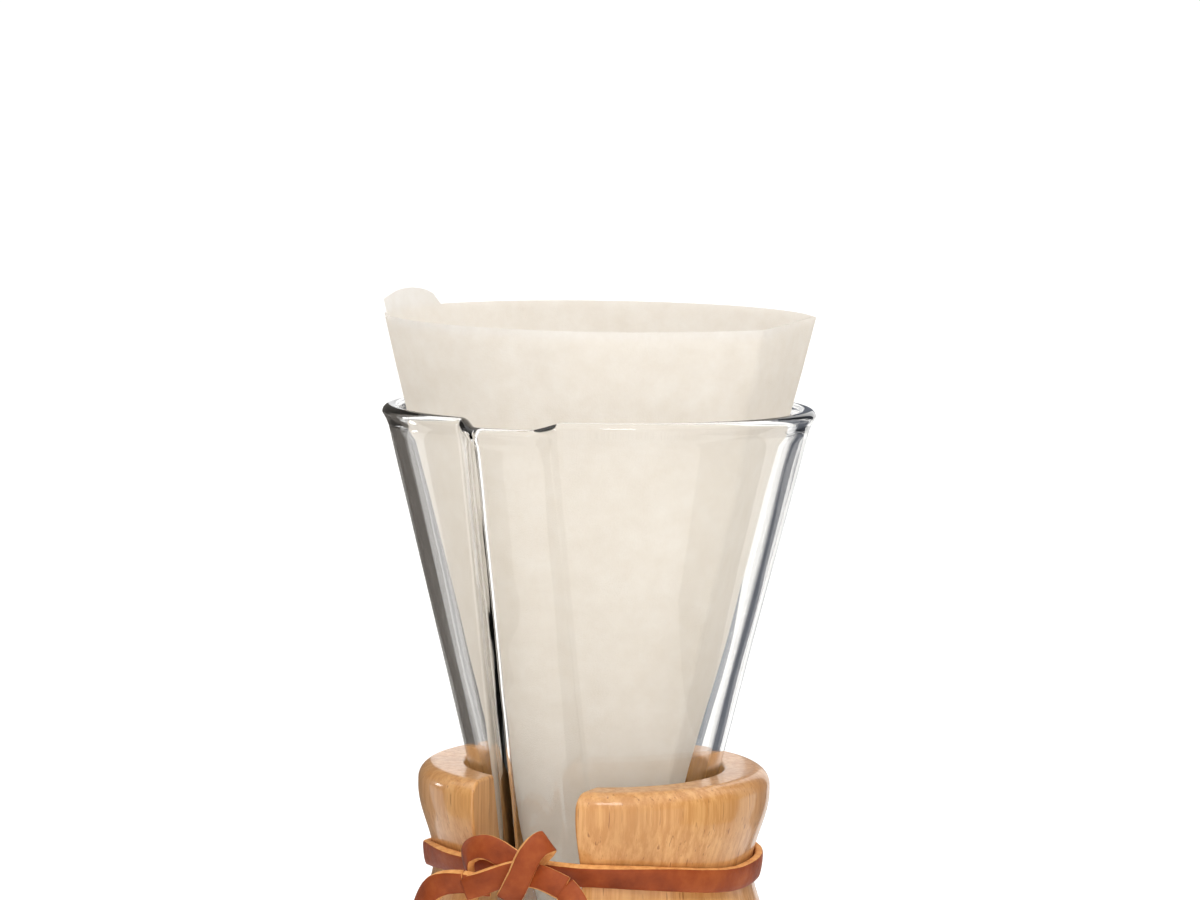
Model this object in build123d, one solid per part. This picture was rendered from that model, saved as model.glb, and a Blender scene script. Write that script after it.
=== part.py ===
"""One-piece glass pour-over funnel and flask, with its wooden collar, leather lace and paper filter.

Units are millimetres. +Z is up and the origin is the centre of the flat ring that the glass stands
on. The pour channel points to -Y, and so do the collar's wide gap and the knot of the lace. The
glass is one blown piece: a funnel above the waist, a flask below it, and a channel pressed outward
down the funnel's front, which lets air out past the paper and coffee out over the rim.
"""

from build123d import *
from math import cos, hypot, pi, radians, sin, sqrt
import os

# ---------------------------------------------------------------- driving dimensions: glass
HEIGHT = 206.0  # the rim's top edge
WAIST_Z = 102.4  # the narrowest height, where the lace goes round the collar
NECK_R = 23.0  # where the straight lines of the funnel and the flask would meet
NECK_SOFTNESS = 1.8  # how much the neck is rounded out past that meeting point
FUNNEL_TAPER = 0.252  # radius gained for each millimetre up
FLASK_FLARE = 0.36  # radius gained for each millimetre down, at the neck
FLASK_BOW = 0.0009  # how much the flask's side bends back in
WALL = 2.8
LIP_ROUND = 1.1
SHOULDER_Z = 80.0  # the channel has faded out here, and the flask is round below
FLASK_SIDE_Z = 14.0  # below this the side turns into the rounded heel
FOOT_R = 36.0  # the flat face it stands on
FLOOR_R = 31.0  # the flat part of the floor inside
FLOOR_THICK = 4.2
SIDE_ZS = (14, 35, 58, 78, 90, 97, 102, 107, 114, 126, 150, 180, HEIGHT)

# ---------------------------------------------------------------- driving dimensions: channel
CHANNEL_DEPTH = 5.0  # how far it stands out of the cone
CHANNEL_HALF_WIDTH = 9.2
CHANNEL_CORNER = 4.0  # rounding of its outer corners
CHANNEL_ZS = (84, 88, 92, 96, 99, 103, 108, 115, 126, 150, 180, HEIGHT)

# ---------------------------------------------------------------- driving dimensions: collar
COLLAR_HALF_HEIGHT = 22.1
COLLAR_WAIST_R = 36.2
COLLAR_SWELL = 3.7  # from the waist to the widest ring
COLLAR_WIDEST = 17.1  # height of the widest ring above the waist
COLLAR_GAP = 12.3  # half the front gap, which the channel stands in
COLLAR_BACK_GAP = 1.5  # half the back gap
COLLAR_CLEARANCE = 0.5  # between the wood and the glass
COLLAR_EDGE = 1.2  # rounding of the sawn end faces

# ---------------------------------------------------------------- driving dimensions: lace
LACE_WIDTH = 5.4
LACE_THICK = 1.8
BAND_INNER_R = COLLAR_WAIST_R + 0.4
KNOT_SIZE = (24.0, 11.0, 15.0)
KNOT_Z = WAIST_Z + 6.0  # the knot rides a little above the band
TAIL_D = 4.4  # the plain tube that stands for the flat lace's free ends
BEAD_R = 7.0
BEAD_BORE_R = 3.0
BEAD_SEAT_GAP = 0.3
STOPPER_R = 4.6
STOPPER_HEIGHT = 7.0
STUB_LENGTH = 8.0  # the cut end below the stopper knot

# ---------------------------------------------------------------- driving dimensions: paper
PAPER_APEX_Z = 40.0
PAPER_TOP_Z = 226.3
PAPER_TOP_R = 48.7
PAPER_THICK = 0.5  # two layers of filter paper
EAR_ANGLE = 188.0  # direction of the folded ear, in degrees from +X
EAR_WIDTH = 28.0
EAR_HEIGHT = 5.2

# The free ends leave the knot's sides, fall over the collar's swell and hang beside the flask.
RIGHT_TAIL = [
    (12.1, -42.2, 104.2),
    (15.2, -42.9, 102.0),
    (16.6, -43.2, 97.6),
    (16.4, -42.9, 91.4),
    (15.2, -42.3, 84.6),
    (14.6, -42.0, 77.2),
    (15.0, -42.1, 70.0),
    (14.6, -42.1, 63.5),
    (14.7, -42.0, 57.0),
]
LEFT_TAIL = [
    (-12.1, -41.8, 103.4),
    (-16.8, -41.8, 103.2),
    (-21.0, -40.8, 100.6),
    (-24.3, -39.2, 95.2),
    (-26.0, -37.8, 87.6),
    (-25.8, -37.2, 79.4),
    (-23.8, -37.4, 71.6),
]


def outer_radius(z):
    """The glass's outside radius at height z, away from the channel and above the heel."""
    above = NECK_R + FUNNEL_TAPER * (z - WAIST_Z)
    below = NECK_R + FLASK_FLARE * (WAIST_Z - z) - FLASK_BOW * (WAIST_Z - z) ** 2
    return (above + below) / 2 + hypot((above - below) / 2, NECK_SOFTNESS)


def smooth(x):
    """0 below 0, 1 above 1, and a smooth step between."""
    x = min(1.0, max(0.0, x))
    return x * x * (3 - 2 * x)


def channel_depth(z):
    """The channel has its full depth down to the waist and fades out above the shoulder."""
    return CHANNEL_DEPTH * smooth((z - SHOULDER_Z) / (WAIST_Z - 4 - SHOULDER_Z))


def glass_round(inside):
    """The whole glass, or the whole space in it, turned about its axis and without the channel."""
    inset = WALL if inside else 0.0
    bottom = FLOOR_THICK if inside else 0.0
    flat_r = FLOOR_R if inside else FOOT_R
    side = [(outer_radius(z) - inset, z) for z in SIDE_ZS]
    across, up = side[0][0] - flat_r, side[0][1] - bottom
    middle = (flat_r + across * sin(pi / 4), bottom + up * (1 - cos(pi / 4)))
    heel = Spline((flat_r, bottom), middle, side[0], tangents=((1, 0), (0, 1)))
    lines = [
        Line((0, bottom), (flat_r, bottom)),
        heel,
        Spline(*side),
        Line(side[-1], (0, HEIGHT)),
        Line((0, HEIGHT), (0, bottom)),
    ]
    return revolve(Plane.XZ * make_face(lines), Axis.Z)


def channel(inside):
    """The channel, or the space in it, as a slab that follows the funnel's front."""
    inset = WALL if inside else 0.0
    half_width = CHANNEL_HALF_WIDTH - inset
    front = [(-(outer_radius(z) + channel_depth(z) - inset), z) for z in CHANNEL_ZS]
    lines = [
        Spline(*front),
        Line(front[-1], (0, HEIGHT)),
        Line((0, HEIGHT), (0, CHANNEL_ZS[0])),
        Line((0, CHANNEL_ZS[0]), front[0]),
    ]
    slab = extrude(Plane.YZ * make_face(lines), half_width, both=True)
    long_edges = [edge for edge in slab.edges() if edge.center().Y < -20 and abs(edge.center().X) > 1]
    corners = [edge for edge in long_edges if edge.length > HEIGHT / 2]
    return fillet(corners, CHANNEL_CORNER - inset / 2)


def glass_vessel():
    """Funnel, neck, flask and channel in one closed solid."""
    outside = glass_round(inside=False) + channel(inside=False)
    space = glass_round(inside=True) + channel(inside=True)
    hollow = outside - space
    rim = hollow.faces().sort_by(Axis.Z)[-1]
    return fillet(rim.edges(), LIP_ROUND)


def collar_outer(z):
    """The collar's outside radius at height z above its waist."""
    return COLLAR_WAIST_R + COLLAR_SWELL * sin(pi / 2 * z / COLLAR_WIDEST) ** 2


def collar_ring():
    """The whole ring that the two collar halves are sawn from."""
    corner = COLLAR_HALF_HEIGHT - COLLAR_WIDEST
    levels = [COLLAR_WIDEST * k / 6 for k in range(-6, 7)]
    side = [(collar_outer(level), WAIST_Z + level) for level in levels]
    top, bottom = WAIST_Z + COLLAR_HALF_HEIGHT, WAIST_Z - COLLAR_HALF_HEIGHT
    zs = [bottom + (top - bottom) * k / 8 for k in range(9)]
    bore = [(outer_radius(z) + COLLAR_CLEARANCE, z) for z in zs]
    flat_r = collar_outer(COLLAR_WIDEST) - corner
    lines = [
        Spline(*side, tangents=((0, 1), (0, 1))),
        RadiusArc(side[-1], (flat_r, top), -corner),
        Line((flat_r, top), bore[-1]),
        Spline(*reversed(bore)),
        Line(bore[0], (flat_r, bottom)),
        RadiusArc((flat_r, bottom), side[0], -corner),
    ]
    return revolve(Plane.XZ * make_face(lines), Axis.Z)


def collar_half(side):
    """One half of the collar: side is -1 for the left half and +1 for the right."""
    reach = 60.0
    tall = 2 * COLLAR_HALF_HEIGHT + 4
    keep = Box(reach, reach, tall, align=(Align.MIN, Align.MAX, Align.CENTER))
    front = Pos(COLLAR_GAP, 0, WAIST_Z) * keep
    back = Pos(COLLAR_BACK_GAP, reach, WAIST_Z) * keep
    half = collar_ring() & (front + back)
    ends = half.faces().filter_by(Axis.X)
    half = fillet(ends.edges(), COLLAR_EDGE)
    return half if side > 0 else mirror(half, Plane.YZ)


def band_outline(radius, corner_y):
    """The closed path of the lace round the collar: an arc, and a straight run over the gap."""
    x = sqrt(radius**2 - corner_y**2)
    back = ThreePointArc((x, -corner_y), (0, radius), (-x, -corner_y))
    return make_face([back, Line((-x, -corner_y), (x, -corner_y))])


def lace_band():
    """The stretch of lace that lies in the collar's waist."""
    corner_y = sqrt(BAND_INNER_R**2 - COLLAR_GAP**2)
    outside = band_outline(BAND_INNER_R + LACE_THICK, corner_y + LACE_THICK)
    inside = band_outline(BAND_INNER_R, corner_y)
    band = extrude(outside - inside, LACE_WIDTH)
    return Pos(0, 0, WAIST_Z - LACE_WIDTH / 2) * band


def lace_knot():
    """The knot's bulk, lying against the band over the collar's gap."""
    front = sqrt(BAND_INNER_R**2 - COLLAR_GAP**2) + LACE_THICK
    block = fillet(Box(*KNOT_SIZE).edges(), 3.4)
    return Pos(0, -front - KNOT_SIZE[1] / 2 - 0.05, KNOT_Z) * block


def bend_radii(points):
    """The largest arc that fits each corner of a route, by its shorter run."""
    radii = []
    for a, b, c in zip(points, points[1:], points[2:]):
        before, after = Vector(*b) - Vector(*a), Vector(*c) - Vector(*b)
        turn = radians(before.get_angle(after))
        shorter = min(before.length, after.length)
        radii.append(0.45 * shorter * cos(turn / 2) / sin(turn / 2))
    return radii


def lace_tail(points):
    """A free end of the lace, as a plain tube along straight runs and arcs."""
    radii = bend_radii(points)
    path = FilletPolyline(*points, radius=radii)
    start = Plane(origin=points[0], z_dir=Vector(*points[1]) - Vector(*points[0]))
    tube = sweep(start * Circle(TAIL_D / 2), path=path)
    print("tail radii", [round(r, 1) for r in radii], "length", round(path.length, 1))
    print("volume over section times length", round(tube.volume / (pi * TAIL_D**2 / 4 * path.length), 3))
    return tube


def stopper_knot():
    """The knot that ends the right tail and carries the bead, with the cut end below it."""
    x, y, z = RIGHT_TAIL[-1]
    ball = fillet(Cylinder(STOPPER_R, STOPPER_HEIGHT).edges(), 2.4)
    stub = Cylinder(TAIL_D / 2, STUB_LENGTH, align=(Align.CENTER, Align.CENTER, Align.MAX))
    return Pos(x, y, z - STOPPER_HEIGHT / 2) * (ball + Pos(0, 0, -STOPPER_HEIGHT / 2 + 0.5) * stub)


def tie_bead():
    """The turned wooden bead, resting on the stopper knot."""
    x, y, z = RIGHT_TAIL[-1]
    half_height = sqrt(BEAD_R**2 - BEAD_BORE_R**2)
    bead = Sphere(BEAD_R) - Cylinder(BEAD_BORE_R, 3 * BEAD_R)
    return Pos(x, y, z + half_height + BEAD_SEAT_GAP) * bead


def paper_cone(radius, top, apex):
    """A filled cone that stands on its point."""
    tall = top - apex
    return Pos(0, 0, apex + tall / 2) * Cone(0.01, radius, tall)


def paper_filter():
    """The folded filter as one conical shell, with the ear of its folded edge standing up."""
    top = PAPER_TOP_Z + EAR_HEIGHT
    taper = PAPER_TOP_R / (PAPER_TOP_Z - PAPER_APEX_Z)
    across = PAPER_THICK * sqrt(1 + taper**2) / taper
    outside = paper_cone((top - PAPER_APEX_Z) * taper, top, PAPER_APEX_Z)
    inner_apex = PAPER_APEX_Z + across
    inside = paper_cone((top + 1 - inner_apex) * taper, top + 1, inner_apex)
    shell = outside - inside
    ear = extrude(Plane.YZ * Ellipse(EAR_WIDTH / 2, EAR_HEIGHT), 80)
    ear = Rot(0, 0, EAR_ANGLE) * (Pos(0, 0, PAPER_TOP_Z) * ear)
    above = Pos(0, 0, PAPER_TOP_Z) * Cylinder(80, 20, align=(Align.CENTER, Align.CENTER, Align.MIN))
    return shell - (above - ear)


def main():
    os.makedirs("parts", exist_ok=True)
    parts = {
        "glass_vessel": glass_vessel(),
        "collar_left": collar_half(-1),
        "collar_right": collar_half(1),
        "lace_band": lace_band(),
        "lace_knot": lace_knot(),
        "lace_tail_left": lace_tail(LEFT_TAIL),
        "lace_tail_right": lace_tail(RIGHT_TAIL),
        "stopper_knot": stopper_knot(),
        "tie_bead": tie_bead(),
        "paper_filter": paper_filter(),
    }
    for node, shape in parts.items():
        export_step(shape, f"parts/{node}.step")


main()
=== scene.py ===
from math import asin, atan2, cos, hypot, pi, radians, sin, sqrt

import bpy
import numpy as np
from mathutils import Matrix, Vector, noise


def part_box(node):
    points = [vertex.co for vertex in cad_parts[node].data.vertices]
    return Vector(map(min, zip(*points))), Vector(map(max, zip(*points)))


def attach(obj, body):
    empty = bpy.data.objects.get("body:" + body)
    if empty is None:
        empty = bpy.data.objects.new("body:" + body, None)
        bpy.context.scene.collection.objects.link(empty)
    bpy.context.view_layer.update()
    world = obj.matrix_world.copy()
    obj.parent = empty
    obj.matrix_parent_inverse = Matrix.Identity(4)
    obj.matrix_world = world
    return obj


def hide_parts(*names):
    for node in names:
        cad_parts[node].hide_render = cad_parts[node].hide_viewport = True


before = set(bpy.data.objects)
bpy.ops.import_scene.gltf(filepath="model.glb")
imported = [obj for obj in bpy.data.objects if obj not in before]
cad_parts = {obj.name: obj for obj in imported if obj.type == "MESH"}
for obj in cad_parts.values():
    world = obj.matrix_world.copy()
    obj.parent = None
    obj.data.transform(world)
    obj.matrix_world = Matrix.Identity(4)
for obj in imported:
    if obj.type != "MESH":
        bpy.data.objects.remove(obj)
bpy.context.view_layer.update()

MM = 0.001

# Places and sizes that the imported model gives, in millimetres.
COLLAR_LOW, COLLAR_HIGH = (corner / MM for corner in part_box("collar_right"))
BAND_LOW, BAND_HIGH = (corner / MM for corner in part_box("lace_band"))
BEAD_LOW, BEAD_HIGH = (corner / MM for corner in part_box("tie_bead"))
STOPPER_LOW, STOPPER_HIGH = (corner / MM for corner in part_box("stopper_knot"))
PAPER_LOW_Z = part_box("paper_filter")[0].z / MM
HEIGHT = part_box("glass_vessel")[1].z / MM
WAIST_Z = (COLLAR_LOW.z + COLLAR_HIGH.z) / 2


# ---------------------------------------------------------------- camera
VIEW_AZIMUTH = 24.0  # degrees round from the channel's front
VIEW_DISTANCE = 0.935
VIEW_HEIGHT = 0.284
VIEW_PITCH = 5.385
VIEW_PAN = 0.02
VIEW_ROLL = 0.8
VIEW_LENS = 125.0


def camera():
    """A long lens, a little above the rim, looking at the upper half of the brewer."""
    a, p, y, r = (radians(v) for v in (VIEW_AZIMUTH, VIEW_PITCH, VIEW_PAN, VIEW_ROLL))
    level = Vector((-sin(a), cos(a), 0))
    right = Vector((cos(a), sin(a), 0))
    ahead = level * cos(p) - Vector((0, 0, sin(p)))
    up = level * sin(p) + Vector((0, 0, cos(p)))
    ahead, right = ahead * cos(y) + right * sin(y), right * cos(y) - ahead * sin(y)
    right, up = right * cos(r) + up * sin(r), up * cos(r) - right * sin(r)
    data = bpy.data.cameras.new("camera")
    data.lens = VIEW_LENS
    data.sensor_width = 36.0
    data.clip_start, data.clip_end = 0.05, 50.0
    cam = bpy.data.objects.new("camera", data)
    cam.matrix_world = Matrix(
        (
            (right.x, up.x, -ahead.x, VIEW_DISTANCE * sin(a)),
            (right.y, up.y, -ahead.y, -VIEW_DISTANCE * cos(a)),
            (right.z, up.z, -ahead.z, VIEW_HEIGHT),
            (0, 0, 0, 1),
        )
    )
    bpy.context.collection.objects.link(cam)
    bpy.context.scene.camera = cam


# ---------------------------------------------------------------- small tools
def smooth(x):
    """0 below 0, 1 above 1, and a smooth step between."""
    x = min(1.0, max(0.0, x))
    return x * x * (3 - 2 * x)


def new_piece(name, points, faces, body, materials, nodes=(), flags=None):
    """A mesh piece from points in millimetres, riding on a body, with its materials."""
    mesh = bpy.data.meshes.new(name)
    mesh.from_pydata([tuple(c * MM for c in p) for p in points], [], faces)
    for material in materials:
        mesh.materials.append(material)
    if flags is not None:
        mesh.polygons.foreach_set("material_index", flags)
    mesh.validate()
    mesh.update()
    mesh.polygons.foreach_set("use_smooth", [True] * len(mesh.polygons))
    piece = bpy.data.objects.new(name, mesh)
    bpy.context.collection.objects.link(piece)
    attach(piece, body)
    if nodes:
        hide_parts(*nodes)
    return piece


def grid_faces(rows, columns, loop=True):
    """Quads between rows of points; each row closes on itself where loop is true."""
    faces = []
    for i in range(rows - 1):
        for j in range(columns if loop else columns - 1):
            k = (j + 1) % columns
            a, b = i * columns, (i + 1) * columns
            faces.append((a + j, a + k, b + k, b + j))
    return faces


def route_line(points, per_run=12):
    """Points along the smooth NURBS line that has a route's points as its control points."""
    data = bpy.data.curves.new("route", "CURVE")
    data.dimensions = "3D"
    data.resolution_u = per_run
    spline = data.splines.new("NURBS")
    spline.points.add(len(points) - 1)
    for point, target in zip(spline.points, points):
        point.co = (*target, 1.0)
    spline.order_u = 3
    spline.use_endpoint_u = True
    holder = bpy.data.objects.new("route", data)
    bpy.context.collection.objects.link(holder)
    bpy.context.view_layer.update()
    mesh = bpy.data.meshes.new_from_object(holder)
    line = [v.co.copy() for v in mesh.vertices]
    bpy.data.objects.remove(holder)
    bpy.data.curves.remove(data)
    bpy.data.meshes.remove(mesh)
    return line


# ---------------------------------------------------------------- materials
class Shader:
    """A node tree under construction, with short calls for the nodes that these materials use."""

    def __init__(self, name):
        self.material = bpy.data.materials.new(name)
        self.material.use_nodes = True
        self.tree = self.material.node_tree
        self.principled = self.tree.nodes["Principled BSDF"]
        self.output = self.tree.nodes["Material Output"]
        self.place = self.tree.nodes.new("ShaderNodeTexCoord").outputs["Object"]

    def link(self, source, target):
        self.tree.links.new(source, target)

    def put(self, socket, value):
        """Sets a socket, or links it where the value is another socket."""
        if isinstance(value, bpy.types.NodeSocket):
            self.link(value, socket)
        else:
            socket.default_value = value

    def set(self, **values):
        """Sets the main shader's own sockets, with _ for a space in their names."""
        for name, value in values.items():
            self.put(self.principled.inputs[name.replace("_", " ")], value)

    def scaled(self, factors):
        """The piece's own coordinates, stretched by the three factors."""
        node = self.tree.nodes.new("ShaderNodeMapping")
        self.link(self.place, node.inputs["Vector"])
        node.inputs["Scale"].default_value = factors
        return node.outputs["Vector"]

    def noise(self, scale, detail=3.0, rough=0.5, place=None, distortion=0.0):
        node = self.tree.nodes.new("ShaderNodeTexNoise")
        self.link(place or self.place, node.inputs["Vector"])
        node.inputs["Scale"].default_value = scale
        node.inputs["Detail"].default_value = detail
        node.inputs["Roughness"].default_value = rough
        node.inputs["Distortion"].default_value = distortion
        return node.outputs["Fac"]

    def voronoi(self, scale):
        node = self.tree.nodes.new("ShaderNodeTexVoronoi")
        self.link(self.place, node.inputs["Vector"])
        node.inputs["Scale"].default_value = scale
        return node.outputs["Distance"]

    def ramp(self, value, *stops):
        """A colour or grey ramp: each stop is a place and a colour."""
        node = self.tree.nodes.new("ShaderNodeValToRGB")
        self.link(value, node.inputs["Fac"])
        elements = node.color_ramp.elements
        while len(elements) < len(stops):
            elements.new(0.5)
        for element, (place, colour) in zip(elements, stops):
            element.position = place
            if isinstance(colour, (int, float)):
                colour = (colour, colour, colour)
            element.color = (*colour, 1.0)
        return node.outputs["Color"]

    def mix(self, share, a, b):
        node = self.tree.nodes.new("ShaderNodeMix")
        node.data_type = "RGBA"
        self.put(node.inputs["Factor"], share)
        colours = [s for s in node.inputs if s.type == "RGBA"]
        for socket, value in zip(colours, (a, b)):
            self.put(socket, (*value, 1.0) if isinstance(value, tuple) and len(value) == 3 else value)
        return [s for s in node.outputs if s.type == "RGBA"][0]

    def bump(self, height, distance, strength):
        node = self.tree.nodes.new("ShaderNodeBump")
        node.inputs["Strength"].default_value = strength
        node.inputs["Distance"].default_value = distance
        self.link(height, node.inputs["Height"])
        return node.outputs["Normal"]


def glass_material():
    """Clear borosilicate glass: faintly wavy, and greyer where one looks along its thickness: partly its own
    tint, partly painted shade for the dark surroundings seen in its edges.
    """
    s = Shader("clear_glass")
    waves = s.noise(60.0, 2.0, 0.4, place=s.scaled((1.0, 1.0, 0.35)))
    smudge = s.ramp(s.noise(35.0, 4.0, 0.6), (0.45, 0.0), (0.75, 0.035))
    edge = s.tree.nodes.new("ShaderNodeLayerWeight")
    edge.inputs["Blend"].default_value = 0.5
    # Darker base colour at grazing angles: partly the glass's own grey through its thickness, partly painted
    # shade for the dark edges.
    tint_and_edge_shade = s.ramp(
        edge.outputs["Facing"],
        (0.0, (1.0, 0.997, 0.99)),
        (0.75, (0.985, 0.98, 0.965)),
        (0.95, (0.88, 0.865, 0.825)),
        (1.0, (0.66, 0.635, 0.58)),
    )
    s.set(
        Base_Color=tint_and_edge_shade,
        Transmission_Weight=1.0,
        IOR=1.474,
        Roughness=smudge,
        Normal=s.bump(waves, 0.0004, 0.12),
    )
    clear = s.tree.nodes.new("ShaderNodeBsdfTransparent")
    clear.inputs["Color"].default_value = (0.95, 0.955, 0.95, 1.0)
    path = s.tree.nodes.new("ShaderNodeLightPath")
    either = s.tree.nodes.new("ShaderNodeMixShader")
    s.link(path.outputs["Is Shadow Ray"], either.inputs["Fac"])
    s.link(s.principled.outputs["BSDF"], either.inputs[1])
    s.link(clear.outputs["BSDF"], either.inputs[2])
    s.link(either.outputs["Shader"], s.output.inputs["Surface"])
    return s.material


def wood_material(name, light, deep, pore, grain=1.0):
    """Turned beech with its grain upright: fine streaks, soft bands, short pores and a clear lacquer."""
    s = Shader(name)
    streaks = s.noise(620.0 * grain, 5.0, 0.7, place=s.scaled((1.0, 1.0, 0.035)))
    bands = s.noise(120.0 * grain, 3.0, 0.55, place=s.scaled((1.0, 1.0, 0.09)), distortion=0.3)
    patches = s.noise(42.0, 3.0, 0.55, place=s.scaled((1.0, 1.0, 0.5)))
    colour = s.mix(s.ramp(streaks, (0.40, 0.0), (0.60, 1.0)), light, deep)
    colour = s.mix(s.ramp(bands, (0.45, 0.0), (0.70, 0.55)), colour, deep)
    colour = s.mix(s.ramp(patches, (0.48, 0.0), (0.75, 0.6)), colour, tuple(c * 0.72 for c in deep))
    flecks = s.noise(1500.0 * grain, 2.0, 0.5, place=s.scaled((1.0, 1.0, 0.055)))
    colour = s.mix(s.ramp(flecks, (0.64, 0.0), (0.72, 0.7)), colour, pore)
    s.set(
        Base_Color=colour,
        Roughness=s.ramp(streaks, (0.3, 0.32), (0.7, 0.46)),
        Specular_IOR_Level=0.3,
        Coat_Weight=0.55,
        Coat_Roughness=0.09,
        Normal=s.bump(s.mix(0.5, streaks, flecks), 0.00010, 0.3),
    )
    return s.material


def leather_face():
    """The smooth grain side: orange-brown, mottled, with fine creases."""
    s = Shader("lace_face")
    mottle = s.noise(130.0, 4.0, 0.6)
    colour = s.ramp(
        mottle,
        (0.30, (0.19, 0.034, 0.008)),
        (0.52, (0.30, 0.058, 0.013)),
        (0.74, (0.40, 0.095, 0.022)),
    )
    pores = s.voronoi(1900.0)
    creases = s.noise(650.0, 4.0, 0.65)
    height = s.mix(0.45, s.ramp(pores, (0.0, 0.0), (0.35, 1.0)), creases)
    s.set(
        Base_Color=colour,
        Roughness=s.ramp(creases, (0.3, 0.44), (0.7, 0.60)),
        Specular_IOR_Level=0.2,
        Normal=s.bump(height, 0.00012, 0.5),
    )
    return s.material


def leather_raw():
    """The cut edge and flesh side: pale tan and fibrous."""
    s = Shader("lace_raw_edge")
    fibres = s.noise(520.0, 5.0, 0.7)
    colour = s.ramp(
        fibres,
        (0.28, (0.50, 0.18, 0.045)),
        (0.5, (0.74, 0.34, 0.10)),
        (0.75, (0.86, 0.47, 0.18)),
    )
    s.set(
        Base_Color=colour,
        Roughness=s.ramp(fibres, (0.3, 0.72), (0.7, 0.9)),
        Normal=s.bump(fibres, 0.0003, 0.7),
    )
    return s.material


def paper_material():
    """Thick filter paper: warm off-white, cloudy with fibres, and letting some light through."""
    s = Shader("filter_paper")
    clouds = s.noise(210.0, 5.0, 0.68)
    broad = s.noise(38.0, 2.0, 0.5)
    colour = s.ramp(
        clouds,
        (0.30, (0.87, 0.808, 0.726)),
        (0.52, (0.89, 0.835, 0.76)),
        (0.75, (0.91, 0.866, 0.80)),
    )
    colour = s.mix(s.ramp(broad, (0.45, 0.0), (0.75, 0.35)), colour, (0.82, 0.75, 0.66))
    fibres = s.noise(1500.0, 4.0, 0.7)
    dimples = s.voronoi(2600.0)
    bumps = s.bump(s.mix(0.5, fibres, dimples), 0.00012, 0.5)
    s.set(
        Base_Color=colour,
        Roughness=s.ramp(fibres, (0.3, 0.82), (0.7, 0.94)),
        Specular_IOR_Level=0.2,
        Normal=bumps,
    )
    through = s.tree.nodes.new("ShaderNodeBsdfTranslucent")
    s.link(s.ramp(clouds, (0.30, (0.93, 0.91, 0.875)), (0.72, (0.99, 0.98, 0.96))), through.inputs["Color"])
    s.link(bumps, through.inputs["Normal"])
    both = s.tree.nodes.new("ShaderNodeMixShader")
    both.inputs["Fac"].default_value = 0.58
    s.link(s.principled.outputs["BSDF"], both.inputs[1])
    s.link(through.outputs["BSDF"], both.inputs[2])
    s.link(both.outputs["Shader"], s.output.inputs["Surface"])
    return s.material


def floor_material():
    s = Shader("studio_floor")
    tone = s.ramp(s.noise(6.0, 2.0), (0.3, (0.93, 0.93, 0.93)), (0.7, (0.945, 0.945, 0.945)))
    s.set(Base_Color=tone, Roughness=0.75, Specular_IOR_Level=0.1)
    return s.material


GLASS = glass_material()
COLLAR_WOOD = wood_material("collar_wood", (0.71, 0.375, 0.138), (0.55, 0.25, 0.074), (0.27, 0.09, 0.022))
BEAD_WOOD = wood_material("bead_wood", (0.62, 0.30, 0.105), (0.47, 0.19, 0.06), (0.25, 0.08, 0.02), 1.3)
LACE_FACE = leather_face()
LACE_RAW = leather_raw()
PAPER = paper_material()


# ---------------------------------------------------------------- leather lace
LACE_WIDTH = BAND_HIGH.z - BAND_LOW.z
LACE_THICK = 1.8


def strip(name, line, facing, body, nodes=(), width=LACE_WIDTH, thick=LACE_THICK):
    """A flat lace along a line in millimetres; facing gives the way its grain side looks, at each point."""
    half, deep, soft = width / 2, thick / 2, 0.42
    section = [(-half + soft, deep), (-half * 0.5, deep + 0.12), (0, deep + 0.16), (half * 0.5, deep + 0.12)]
    section += [(half - soft, deep), (half - 0.1, deep - 0.16), (half, deep - soft)]
    section += [(half, -deep + soft), (half - 0.12, -deep + 0.12), (half - soft, -deep)]
    section += [(0, -deep), (-half + soft, -deep), (-half + 0.12, -deep + 0.12), (-half, -deep + soft)]
    section += [(-half, deep - soft), (-half + 0.1, deep - 0.16)]
    face_sides = {0, 1, 2, 3, 4, 15}
    points, count = [], len(section)
    for i, here in enumerate(line):
        before, after = line[max(i - 1, 0)], line[min(i + 1, len(line) - 1)]
        along = (after - before).normalized()
        out = facing[i] - along * facing[i].dot(along)
        out.normalize()
        across = along.cross(out)
        wobble = 0.10 * noise.noise(here * 0.35)
        for x, y in section:
            points.append(here + across * (x * (1 + wobble * 0.25)) + out * (y + wobble * 0.3))
    rows = len(line)
    faces = grid_faces(rows, count)
    flags = [0 if (k % count) in face_sides else 1 for k in range(len(faces))]
    for start, turned in ((0, True), ((rows - 1) * count, False)):
        ring = list(range(start, start + count))
        faces.append(tuple(reversed(ring)) if turned else tuple(ring))
        flags.append(1)
    return new_piece(name, points, faces, body, [LACE_FACE, LACE_RAW], nodes, flags)


def lerp_facing(line, keys):
    """Facing directions along a line, from keys of (share of its length, direction)."""
    lengths = [0.0]
    for a, b in zip(line, line[1:]):
        lengths.append(lengths[-1] + (b - a).length)
    total = lengths[-1]
    result = []
    for at in lengths:
        share = at / total
        for (s0, d0), (s1, d1) in zip(keys, keys[1:]):
            if share <= s1 or s1 == keys[-1][0]:
                blend = smooth((share - s0) / (s1 - s0))
                result.append((Vector(d0) * (1 - blend) + Vector(d1) * blend).normalized())
                break
    return result


def outward(line, lean=0.0):
    """Facing away from the brewer's axis, with a lean up or down that dies away by half way along."""
    ways = []
    for k, p in enumerate(line):
        away = Vector((p.x, p.y, 0)).normalized()
        away.z = lean * (1 - smooth(2 * k / len(line)))
        ways.append(away.normalized())
    return ways


def lace_line(points, per_run=10):
    """A smooth line in millimetres through the pull of the given points."""
    return route_line([Vector(q) for q in points], per_run)


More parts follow.
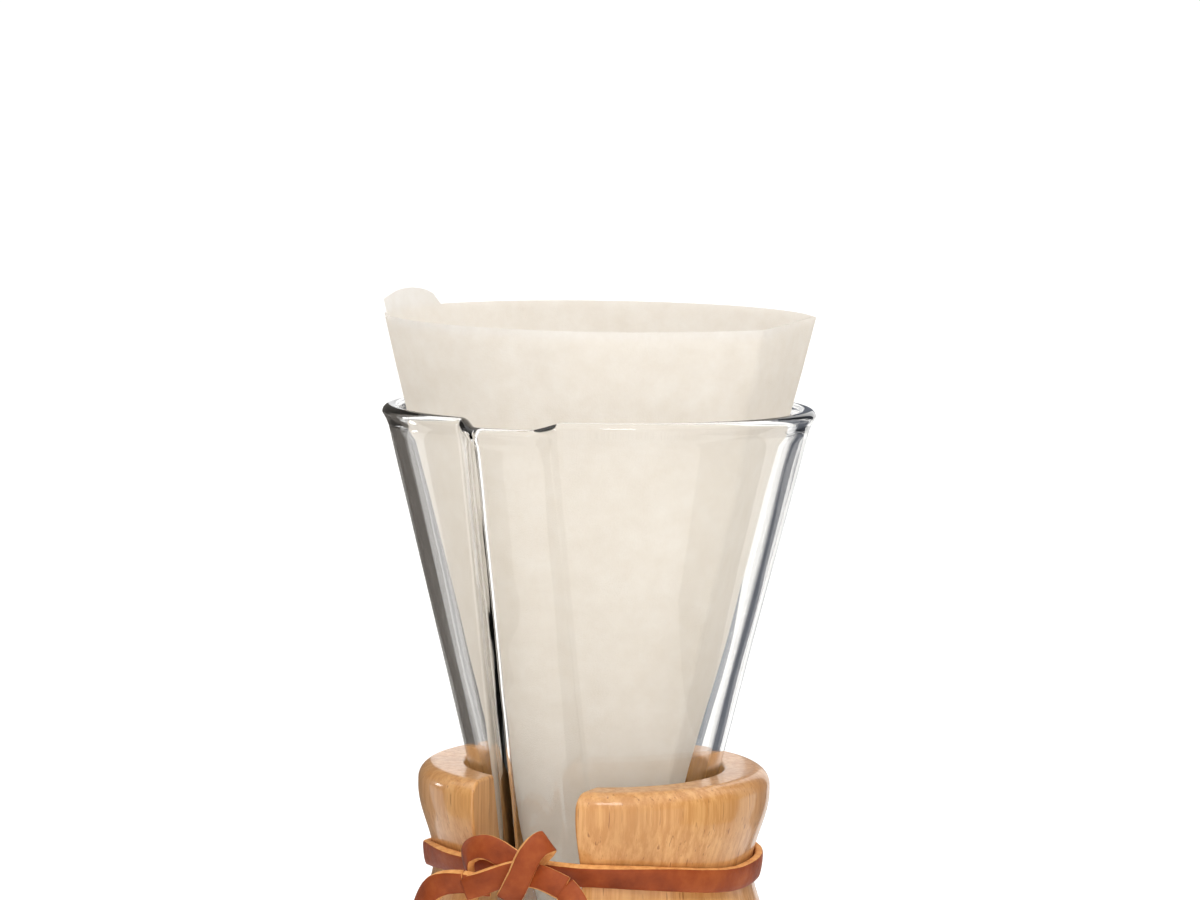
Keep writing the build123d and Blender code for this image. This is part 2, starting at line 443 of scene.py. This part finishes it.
# The free ends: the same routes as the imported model's tubes, in metres.
RIGHT_TAIL = [
    (0.0121, -0.0422, 0.1042),
    (0.0152, -0.0429, 0.1020),
    (0.0166, -0.0432, 0.0976),
    (0.0164, -0.0429, 0.0914),
    (0.0152, -0.0423, 0.0846),
    (0.0146, -0.0420, 0.0772),
    (0.0150, -0.0421, 0.0700),
    (0.0146, -0.0421, 0.0635),
    (0.0147, -0.0420, 0.0570),
]
LEFT_TAIL = [
    (-0.0121, -0.0418, 0.1034),
    (-0.0168, -0.0418, 0.1032),
    (-0.0210, -0.0408, 0.1006),
    (-0.0243, -0.0392, 0.0952),
    (-0.0260, -0.0378, 0.0876),
    (-0.0258, -0.0372, 0.0794),
    (-0.0238, -0.0374, 0.0716),
]


def tail(name, route, lean):
    """A free end of the lace along its route."""
    line = route_line(route)
    points = [p / MM for p in line]
    piece = strip(name + "_strip", points, outward(points, lean), "root", [name])


def outside(p, chord):
    """The way the band's grain side looks at p: away from the axis, or forward over the gap, and down."""
    over_gap = p.y < 0.01 - chord
    flat = Vector((p.x * 0.3, p.y, 0)) if over_gap else Vector((p.x, p.y, 0))
    tilt = 0.12 + 0.42 * smooth((-p.y / chord - 0.6) / 0.4)
    return (flat.normalized() - Vector((0, 0, tilt))).normalized()


def band():
    """The stretch of lace round the collar's waist, rising a little to the knot at the front."""
    radius = BAND_HIGH.x - LACE_THICK / 2
    chord = -(BAND_LOW.y + LACE_THICK / 2)
    line, steps = [], 220
    for k in range(steps + 1):
        angle = radians(-90 + 360 * k / steps)
        x, y = radius * cos(angle), radius * sin(angle)
        y = max(y, -chord)
        front = max(0.0, -sin(angle))
        rise = 3.4 * smooth((front - 0.05) / 0.9) if x > 0 else 3.2 * smooth((front - 0.05) / 0.75)
        line.append(Vector((x, y, WAIST_Z + rise + 0.25 * sin(3 * angle))))
    keep = [p for p in line if not (abs(p.x) < 4.0 and p.y < 0)]
    facing = [outside(p, chord) for p in keep]
    strip("lace_band_strip", keep, facing, "root", ["lace_band"])


def knot():
    """The knot's loops, each a strip of the same lace, laid over one another."""
    front = (0, -1, 0)
    loops = {
        "knot_loop_upper": (
            [(-12.6, -38.8, 106.4), (-12.6, -40.2, 109.0), (-10.2, -41.2, 110.9), (-7.2, -41.9, 111.7),
             (-4.4, -41.9, 111.0), (-1.4, -41.4, 109.2), (1.6, -40.6, 107.4)],
            [(0, (-0.6, -0.8, 0.5)), (0.4, (0, -1, 0.4)), (1, (0.2, -1, 0.2))],
        ),
        "knot_loop_lower": (
            [(3.4, -40.6, 107.4), (-0.6, -42.0, 106.5), (-4.6, -42.9, 105.0), (-8.2, -43.1, 103.4),
             (-11.6, -42.2, 102.0)],
            [(0, (0.1, -1, -0.2)), (0.6, (0.1, -1, -0.35)), (1, (-0.2, -1, -0.1))],
        ),
        "knot_strap": (
            [(2.6, -40.0, 108.8), (6.0, -39.8, 111.8), (7.6, -41.6, 114.0), (6.6, -44.4, 113.7),
             (4.9, -45.6, 111.2), (3.4, -45.6, 107.6), (1.4, -44.8, 103.8), (-0.8, -43.0, 101.0)],
            [(0, (0, 1, 0.2)), (0.2, (0.5, 0.2, 0.9)), (0.36, (0.75, -0.5, 0.5)), (0.5, (0.62, -0.8, 0.1)),
             (1, (0.4, -1, -0.1))],
        ),
        "knot_root_left": (
            [(-6.4, -41.0, 103.2), (-9.4, -41.8, 103.0), (-12.1, -41.8, 103.4)],
            [(0, (0, -1, -0.3)), (1, (-0.3, -1, -0.45))],
        ),
        "knot_root_right": (
            [(0.6, -41.4, 106.4), (5.4, -42.6, 106.6), (9.2, -42.8, 105.6), (12.1, -42.2, 104.2)],
            [(0, (0, -1, 0.3)), (1, (0.3, -1, 0.45))],
        ),
    }
    for index, (name, (points, keys)) in enumerate(loops.items()):
        line = lace_line(points)
        nodes = ["lace_knot"] if index == 0 else ()
        strip(name, line, lerp_facing(line, keys), "root", nodes)


def stopper():
    """The knot under the bead: two turns of lace round the hanging end, and the end itself."""
    x, y = (STOPPER_LOW.x + STOPPER_HIGH.x) / 2, (STOPPER_LOW.y + STOPPER_HIGH.y) / 2
    top, bottom = STOPPER_HIGH.z, STOPPER_LOW.z
    turns, steps = 1.35, 60
    line, facing = [], []
    for k in range(steps + 1):
        angle = 2 * pi * turns * k / steps + 0.6
        height = top - 3.0 - 1.6 * sin(angle * 0.5 + 0.4)
        swell = 3.1 + 0.35 * sin(2 * angle)
        line.append(Vector((x + swell * cos(angle), y + swell * sin(angle) * 0.92, height)))
        facing.append(Vector((cos(angle), sin(angle), 0.15)))
    wrap = strip("stopper_wrap", line, facing, "root", ["stopper_knot"], width=5.0, thick=1.7)
    hang = lace_line(
        [(x, y, top), (x + 0.3, y - 0.3, top - 5), (x - 0.4, y - 0.2, bottom + 3), (x + 0.2, y, bottom)]
    )
    end = strip("stopper_end", hang, [Vector((0.3, -1, 0))] * len(hang), "root")
    return [wrap, end]


# ---------------------------------------------------------------- bead
def bead():
    """A turned bead with a rounded bore."""
    centre = (BEAD_LOW + BEAD_HIGH) / 2
    radius, bore, lip = (BEAD_HIGH.x - BEAD_LOW.x) / 2, 3.0, 0.5
    open_angle = asin((bore + lip) / radius)
    profile = []
    for k in range(41):
        angle = open_angle + (pi - 2 * open_angle) * k / 40
        profile.append((radius * sin(angle), radius * cos(angle)))
    low = profile[-1][1]
    for k in range(1, 6):
        turn = pi / 2 * k / 5
        profile.append((bore + lip * (1 - sin(turn)), low + lip * (1 - cos(turn)) * 0.6))
    profile += [(bore, low * 0.5), (bore, 0.0), (bore, -low * 0.5)]
    for k in range(5, 0, -1):
        turn = pi / 2 * k / 5
        profile.append((bore + lip * (1 - sin(turn)), -low - lip * (1 - cos(turn)) * 0.6))
    columns = 72
    points = []
    for r, z in profile:
        for j in range(columns):
            a = 2 * pi * j / columns
            points.append((centre.x + r * sin(a), centre.y - r * cos(a), centre.z + z))
    faces = grid_faces(len(profile), columns)
    last = (len(profile) - 1) * columns
    faces += [(last + j, last + (j + 1) % columns, (j + 1) % columns, j) for j in range(columns)]
    return new_piece("bead_turned", points, faces, "bead", [BEAD_WOOD], ["tie_bead"])


# ---------------------------------------------------------------- glass
NECK_R = 23.0  # where the straight lines of the funnel and the flask would meet
NECK_SOFTNESS = 1.8
FUNNEL_TAPER = 0.2455
FLASK_FLARE = 0.36
FLASK_BOW = 0.0009
WALL = 2.8
LIP_PROUD = 0.75
LIP_HEIGHT = 4.2
HEEL_Z = 14.0
FOOT_R = 35.5
PUNT = 1.0  # how far the middle of the base is lifted
FLOOR_THICK = 4.2
CHANNEL_DEPTH = 4.7
CHANNEL_CREST = 6.4
CHANNEL_FOOT = 11.6
CHANNEL_EASE = 2.2  # its left side slopes off this much further
CHANNEL_WALL = 1.3
SHOULDER_Z = 80.0
LIP_DIP = 1.5
DIP_CREST = 6.2
DIP_EASE = 6.0  # the rim climbs back to its height over this much on each side


def outer_radius(z):
    """The glass's outside radius at height z, away from the channel."""
    above = NECK_R + FUNNEL_TAPER * (z - WAIST_Z)
    below = NECK_R + FLASK_FLARE * (WAIST_Z - z) - FLASK_BOW * (WAIST_Z - z) ** 2
    return (above + below) / 2 + hypot((above - below) / 2, NECK_SOFTNESS)


def lip(z):
    """How far the fire-rounded lip stands out of the wall at height z."""
    return LIP_PROUD * smooth((z - (HEIGHT - LIP_HEIGHT)) / (LIP_HEIGHT * 0.6))


def glass_profile():
    """The wall's section as (radius, height, share inside), from under the base to the floor inside."""
    rows = []
    for r in (0, 8, 16, 22, 27):
        rows.append((r, PUNT * (1 - 0.1 * (r / 27) ** 2), 0))
    for k in range(9):
        rows.append((27.5 + (FOOT_R - 27.5) * k / 8, PUNT * 0.9 * (1 - smooth(k / 5)), 0))
    side_r = outer_radius(HEEL_Z)
    for k in range(1, 19):
        a = pi / 2 * k / 18
        rows.append((FOOT_R + (side_r - FOOT_R) * sin(a), HEEL_Z * (1 - cos(a)), 0))
    bead_z = HEIGHT - WALL / 2 - 0.35
    steps = 130
    for k in range(1, steps + 1):
        z = HEEL_Z + (bead_z - HEEL_Z) * k / steps
        rows.append((outer_radius(z) + lip(z), z, 0))
    outer_r, inner_r = rows[-1][0], outer_radius(bead_z) - WALL - lip(bead_z) / 2
    middle, half = (outer_r + inner_r) / 2, (outer_r - inner_r) / 2
    for k in range(1, 16):
        a = pi * k / 16
        rows.append((middle + half * cos(a), bead_z + (HEIGHT - bead_z) * sin(a), k / 16))
    for k in range(steps + 1):
        z = bead_z + (HEEL_Z - bead_z) * k / steps
        rows.append((outer_radius(z) - WALL - lip(z) / 2, z, 1))
    side_r, floor_r = outer_radius(HEEL_Z) - WALL, FOOT_R - 4.5
    for k in range(1, 19):
        a = pi / 2 * (1 - k / 18)
        z = FLOOR_THICK + (HEEL_Z - FLOOR_THICK) * (1 - cos(a))
        rows.append((floor_r + (side_r - floor_r) * sin(a), z, 1))
    for r in (27, 22, 16, 8, 0):
        rows.append((r, FLOOR_THICK + 0.9 * (1 - (r / 31) ** 2), 1))
    return rows


def glass():
    """The vessel as one closed wall, with the channel pressed out of its front."""
    front = [14.0 * k / 40 for k in range(-40, 41)]
    back = 130
    rows = glass_profile()
    points = []
    for radius, z, inside in rows:
        reach = max(radius, 20.0)
        angles = [asin(x / reach) for x in front]
        end = angles[-1]
        angles += [end + (2 * pi - 2 * end) * k / back for k in range(1, back)]
        crest, foot = CHANNEL_CREST - CHANNEL_WALL * inside, CHANNEL_FOOT - CHANNEL_WALL * inside
        depth = CHANNEL_DEPTH * smooth((z - SHOULDER_Z) / (WAIST_Z - 4 - SHOULDER_Z))
        near_rim = smooth((z - (HEIGHT - 11)) / 11)
        for angle in angles:
            x, y = radius * sin(angle), -radius * cos(angle)
            ease = CHANNEL_EASE if x < 0 else 0.0
            over = 1 - smooth((abs(x) - crest) / (foot + ease - crest)) if y < 0 else 0.0
            dip = 1 - smooth((abs(x) - DIP_CREST) / DIP_EASE) if y < 0 else 0.0
            p = Vector((x, y - depth * over, z - LIP_DIP * near_rim * dip))
            if radius > 0:
                away = Vector((x, y, 0)).normalized()
                calm = smooth((z - 4) / 10) * smooth((HEIGHT - 3 - z) / 12)
                broad = Vector((x, y, z * 0.5)) / 17 + Vector((inside * 9, 0, 0))
                p += away * calm * 0.11 * noise.noise(broad)
                p += away * calm * 0.12 * over * noise.noise(Vector((x, z * 0.6, inside * 5)) / 5.5)
            points.append(p)
    columns = len(front) + back - 1
    faces = grid_faces(len(rows), columns)
    first, last = columns, (len(rows) - 2) * columns
    faces = faces[columns:-columns]
    kept = points[first : last + columns]
    faces = [tuple(i - first for i in f) for f in faces]
    low, high = len(kept), len(kept) + 1
    kept += [Vector((0, 0, rows[0][1])), Vector((0, 0, rows[-1][1]))]
    top = last - first
    for j in range(columns):
        k = (j + 1) % columns
        faces.append((low, k, j))
        faces.append((high, top + j, top + k))
    new_piece("glass_wall", kept, faces, "root", [GLASS], ["glass_vessel"])


# ---------------------------------------------------------------- collar
COLLAR_WAIST_R = 36.2
COLLAR_SWELL = 3.7
COLLAR_WIDEST = 17.1
COLLAR_CORNER = 3.9
COLLAR_CLEARANCE = 0.9  # between the wood and the glass
COLLAR_GAP = 12.3  # half the front gap, which the channel stands in
COLLAR_BACK_GAP = 1.5  # half the back gap


def collar_profile():
    """The collar's section as (radius, height), round from the bottom of its bore."""
    top, bottom = COLLAR_HIGH.z, COLLAR_LOW.z
    corner = COLLAR_CORNER
    reach = (top - bottom) / 2 - corner
    widest = COLLAR_WAIST_R + COLLAR_SWELL
    outer = []
    for k in range(9):
        a = pi / 2 * k / 8
        outer.append((widest - corner + corner * sin(a), bottom + corner * (1 - cos(a))))
    for k in range(1, 40):
        z = reach * (k / 20 - 1)
        outer.append((COLLAR_WAIST_R + COLLAR_SWELL * sin(pi / 2 * z / COLLAR_WIDEST) ** 2, WAIST_Z + z))
    for k in range(9):
        a = pi / 2 * (1 - k / 8)
        outer.append((widest - corner + corner * sin(a), top - corner * (1 - cos(a))))
    bore = []
    for k in range(25):
        z = top - (top - bottom) * k / 24
        bore.append((outer_radius(z) + COLLAR_CLEARANCE, z))
    return outer + bore


def collar_half(side, shift):
    """One half of the collar: side is -1 for the left and +1 for the right; shift is how high it sits."""
    profile = collar_profile()
    columns, rows = len(profile), 90
    points = []
    for k in range(rows + 1):
        share = k / rows
        for r, z in profile:
            start, end = asin(COLLAR_GAP / r), pi - asin(COLLAR_BACK_GAP / r)
            a = start + (end - start) * share
            points.append((side * r * sin(a), -r * cos(a), z + shift))
    faces = grid_faces(rows + 1, columns)
    faces.append(tuple(reversed(range(columns))))
    faces.append(tuple(range(rows * columns, (rows + 1) * columns)))
    if side < 0:
        faces = [tuple(reversed(f)) for f in faces]
    name = "collar_left" if side < 0 else "collar_right"
    piece = new_piece(name + "_turned", points, faces, "root", [COLLAR_WOOD], [name])
    bevel = piece.modifiers.new("edges", "BEVEL")
    bevel.width = 0.8 * MM
    bevel.segments = 4
    bevel.limit_method = "ANGLE"
    bevel.angle_limit = radians(35)
    bevel.harden_normals = False
    normals = piece.modifiers.new("normals", "WEIGHTED_NORMAL")
    normals.keep_sharp = False


# ---------------------------------------------------------------- paper filter
PAPER_TURN = 24.0  # the filter's two creases lie across this direction
PAPER_APEX_Z = PAPER_LOW_Z + 3.0
PAPER_TOP_Z = 226.2
EAR_HEIGHT = 4.4
FLAP_ANGLE = radians(-104)  # a small loose fold low down at the front
FLAP_TOP = 117.0
PAPER_OPENING = [
    [(48.5, 4.0), (44.0, 17.0), (33.0, 29.5), (17.0, 37.0), (0.0, 39.5),
     (-17.0, 37.0), (-33.0, 28.5), (-44.5, 14.0), (-48.6, 0.0)],
    [(-48.6, 0.0), (-45.5, -13.0), (-35.0, -27.0), (-18.0, -36.8), (0.0, -40.3),
     (18.0, -38.0), (36.5, -30.5)],
    [(36.5, -30.5), (42.8, -13.4), (48.5, 4.0)],
]


def through(points, steps):
    """A smooth line through the points (Catmull-Rom), without its last point."""
    knots = [np.array(p) for p in points]
    ends = [2 * knots[0] - knots[1], *knots, 2 * knots[-1] - knots[-2]]
    line = []
    for k in range(steps):
        at = (len(points) - 1) * k / steps
        i = int(at)
        t = at - i
        a, b, c, d = ends[i : i + 4]
        bend = (2 * a - 5 * b + 4 * c - d) * t**2 + (3 * b - a - 3 * c + d) * t**3
        line.append(0.5 * (2 * b + (c - a) * t + bend))
    return line


def paper_width(z):
    """How wide the filter is at height z, as a share of its width at the top edge."""
    share = (z - PAPER_APEX_Z) / (PAPER_TOP_Z - PAPER_APEX_Z)
    return share + 0.018 * sin(pi * max(0.0, share) ** 2.2)


def paper():
    """The folded filter: one sheet wound twice round the cone, creased at its corners."""
    outline = [p for side, steps in zip(PAPER_OPENING, (80, 66, 16)) for p in through(side, steps)]
    turn = radians(PAPER_TURN)
    right, away = Vector((cos(turn), sin(turn), 0)), Vector((-sin(turn), cos(turn), 0))
    rows, columns = 90, len(outline)
    wound = [(u, w, 0.0) for u, w in outline]
    wound += [(u, w, smooth(k / 9)) for k, (u, w) in enumerate(outline + outline[:1])]
    points = []
    for i in range(rows + 1):
        share = 0.004 + 0.996 * (i / rows)
        for u, w, inner in wound:
            edge = 1.1 * (w / 40.0) - 1.7 * (1 - inner) * smooth((-w - 1) / 20.0)
            if inner > 0.5 and w > -1 and u < -34:
                edge += EAR_HEIGHT * sqrt(max(0.0, 1 - ((u + 43.8) / 6.7) ** 2))
            z = PAPER_APEX_Z + share * (PAPER_TOP_Z + edge - PAPER_APEX_Z)
            size = paper_width(z)
            p = (right * u + away * w) * size
            angle = atan2(w, u)
            soft = noise.noise(Vector((3.0 * cos(angle), 3.0 * sin(angle), z / 55.0)))
            crumple = smooth((128 - z) / 30)
            pleat = sin(5 * angle + 0.8) + 0.5 * sin(9 * angle - z / 9)
            push = 0.55 * soft * smooth(share * 3) + 0.9 * crumple * pleat * min(1.0, size * 3)
            dent = 0.7 * smooth(-w / 40.3) * sin(pi * smooth((z - 190) / 32))
            flap = 1 - abs(angle - FLAP_ANGLE) / (0.10 + max(0.0, FLAP_TOP - z) * 0.012)
            push += 1.1 * max(0.0, flap) * smooth((FLAP_TOP - z) / 6)
            p -= p.normalized() * (0.55 * inner + dent - push)
            points.append((p.x, p.y, z))
    faces = grid_faces(rows + 1, len(wound), loop=False)
    sheet = new_piece("filter_sheet", points, faces, "filter", [PAPER], ["paper_filter"])


# ---------------------------------------------------------------- stage
def card(name, azimuth, distance, width, height, z, shade, lit=False):
    """A dark studio flag for reflections: a lit one dims soft light, the others show through glass."""
    a = radians(azimuth)
    mesh = bpy.data.meshes.new(name)
    half = width / 2
    corners = [(-half, 0, 0), (half, 0, 0), (half, 0, height), (-half, 0, height)]
    mesh.from_pydata(corners, [], [(0, 1, 2, 3)])
    flag = bpy.data.objects.new(name, mesh)
    flag.location = (distance * sin(a), -distance * cos(a), z)
    flag.rotation_euler = (0, 0, a)
    s = Shader(name + "_cloth")
    s.set(Base_Color=(*shade, 1), Roughness=1.0, Specular_IOR_Level=0.0)
    mesh.materials.append(s.material)
    bpy.context.collection.objects.link(flag)
    flag.visible_camera = False
    flag.visible_diffuse = lit
    flag.visible_transmission = not lit
    flag.visible_shadow = False


def lamp(name, azimuth, elevation, distance, size, power):
    """A square soft box aimed at the neck of the brewer."""
    a, e = radians(azimuth), radians(elevation)
    way = Vector((sin(a) * cos(e), -cos(a) * cos(e), sin(e)))
    data = bpy.data.lights.new(name, "AREA")
    data.size = size
    data.energy = power
    box = bpy.data.objects.new(name, data)
    box.location = Vector((0, 0, WAIST_Z * MM)) + way * distance
    box.rotation_mode = "QUATERNION"
    box.rotation_quaternion = way.to_track_quat("Z", "Y")
    bpy.context.collection.objects.link(box)


def surround():
    """White where the camera looks straight at it; as light, a bright ceiling and dimmer sides."""
    world = bpy.data.worlds.new("studio")
    world.use_nodes = True
    tree = world.node_tree
    seen = tree.nodes["Background"]
    seen.inputs["Color"].default_value = (1.0, 1.0, 1.0, 1.0)
    seen.inputs["Strength"].default_value = 1.05
    lit = tree.nodes.new("ShaderNodeBackground")
    place = tree.nodes.new("ShaderNodeTexCoord").outputs["Generated"]
    split = tree.nodes.new("ShaderNodeSeparateXYZ")
    tree.links.new(place, split.inputs[0])
    a = radians(VIEW_AZIMUTH)
    sideways = tree.nodes.new("ShaderNodeVectorMath")
    sideways.operation = "DOT_PRODUCT"
    tree.links.new(place, sideways.inputs[0])
    sideways.inputs[1].default_value = (cos(a) / 2, sin(a) / 2, 0)
    shift = tree.nodes.new("ShaderNodeMath")
    shift.operation = "ADD"
    tree.links.new(sideways.outputs["Value"], shift.inputs[0])
    shift.inputs[1].default_value = 0.5
    sides = tree.nodes.new("ShaderNodeValToRGB")
    tree.links.new(shift.outputs[0], sides.inputs["Fac"])
    stops = sides.color_ramp.elements
    stops[0].position, stops[0].color = 0.08, (0.40, 0.38, 0.36, 1)
    stops[1].position, stops[1].color = 0.97, (0.36, 0.38, 0.43, 1)
    for at, shade in ((0.28, 0.62), (0.48, 1.2), (0.68, 1.25), (0.84, 0.75)):
        stop = stops.new(at)
        stop.color = (shade, shade, shade, 1)
    high = tree.nodes.new("ShaderNodeMapRange")
    tree.links.new(split.outputs["Z"], high.inputs["Value"])
    high.inputs["From Min"].default_value = 0.45
    high.inputs["From Max"].default_value = 0.8
    both = tree.nodes.new("ShaderNodeMix")
    both.data_type = "RGBA"
    tree.links.new(high.outputs["Result"], both.inputs["Factor"])
    colours = [s for s in both.inputs if s.type == "RGBA"]
    tree.links.new(sides.outputs["Color"], colours[0])
    colours[1].default_value = (1.7, 1.68, 1.64, 1)
    tree.links.new([s for s in both.outputs if s.type == "RGBA"][0], lit.inputs["Color"])
    path = tree.nodes.new("ShaderNodeLightPath")
    either = tree.nodes.new("ShaderNodeMixShader")
    tree.links.new(path.outputs["Is Camera Ray"], either.inputs["Fac"])
    tree.links.new(lit.outputs["Background"], either.inputs[1])
    tree.links.new(seen.outputs["Background"], either.inputs[2])
    tree.links.new(either.outputs["Shader"], tree.nodes["World Output"].inputs["Surface"])
    bpy.context.scene.world = world


def stage():
    """A pale floor, a white surround, soft boxes and dark flags for the edges of the glass."""
    floor_mesh = bpy.data.meshes.new("floor")
    reach, steps = 30.0, 64
    ring = [(reach * cos(2 * pi * k / steps), reach * sin(2 * pi * k / steps), 0) for k in range(steps)]
    floor_mesh.from_pydata(ring, [], [tuple(range(steps))])
    floor_mesh.materials.append(floor_material())
    floor = bpy.data.objects.new("floor", floor_mesh)
    bpy.context.collection.objects.link(floor)
    surround()
    lamp("key_light", 36, 46, 1.4, 0.34, 3.6)
    lamp("kick_light", 262, 12, 0.9, 0.10, 0.35)
    card("flag_back_left", 237, 0.30, 0.21, 0.40, 0.0, (0.13, 0.12, 0.11))
    card("flag_back_right", 191, 0.30, 0.045, 0.40, 0.0, (0.22, 0.24, 0.28))
    card("flag_right", 161, 0.30, 0.13, 0.40, 0.0, (0.13, 0.14, 0.165))
    card("flag_left", 305, 0.26, 0.30, 0.30, 0.0, (0.09, 0.083, 0.076), lit=True)
    card("flag_far_right", 104, 0.28, 0.24, 0.30, 0.0, (0.05, 0.05, 0.055), lit=True)
    bpy.context.scene.view_settings.view_transform = "Standard"


camera()
tail("lace_tail_left", LEFT_TAIL, -0.45)
stopper_pieces = stopper()
bead_piece = bead()
tail("lace_tail_right", RIGHT_TAIL, 0.45)
band()
knot()
glass()
collar_half(-1, 0.35)
collar_half(1, -0.25)
paper()
stage()
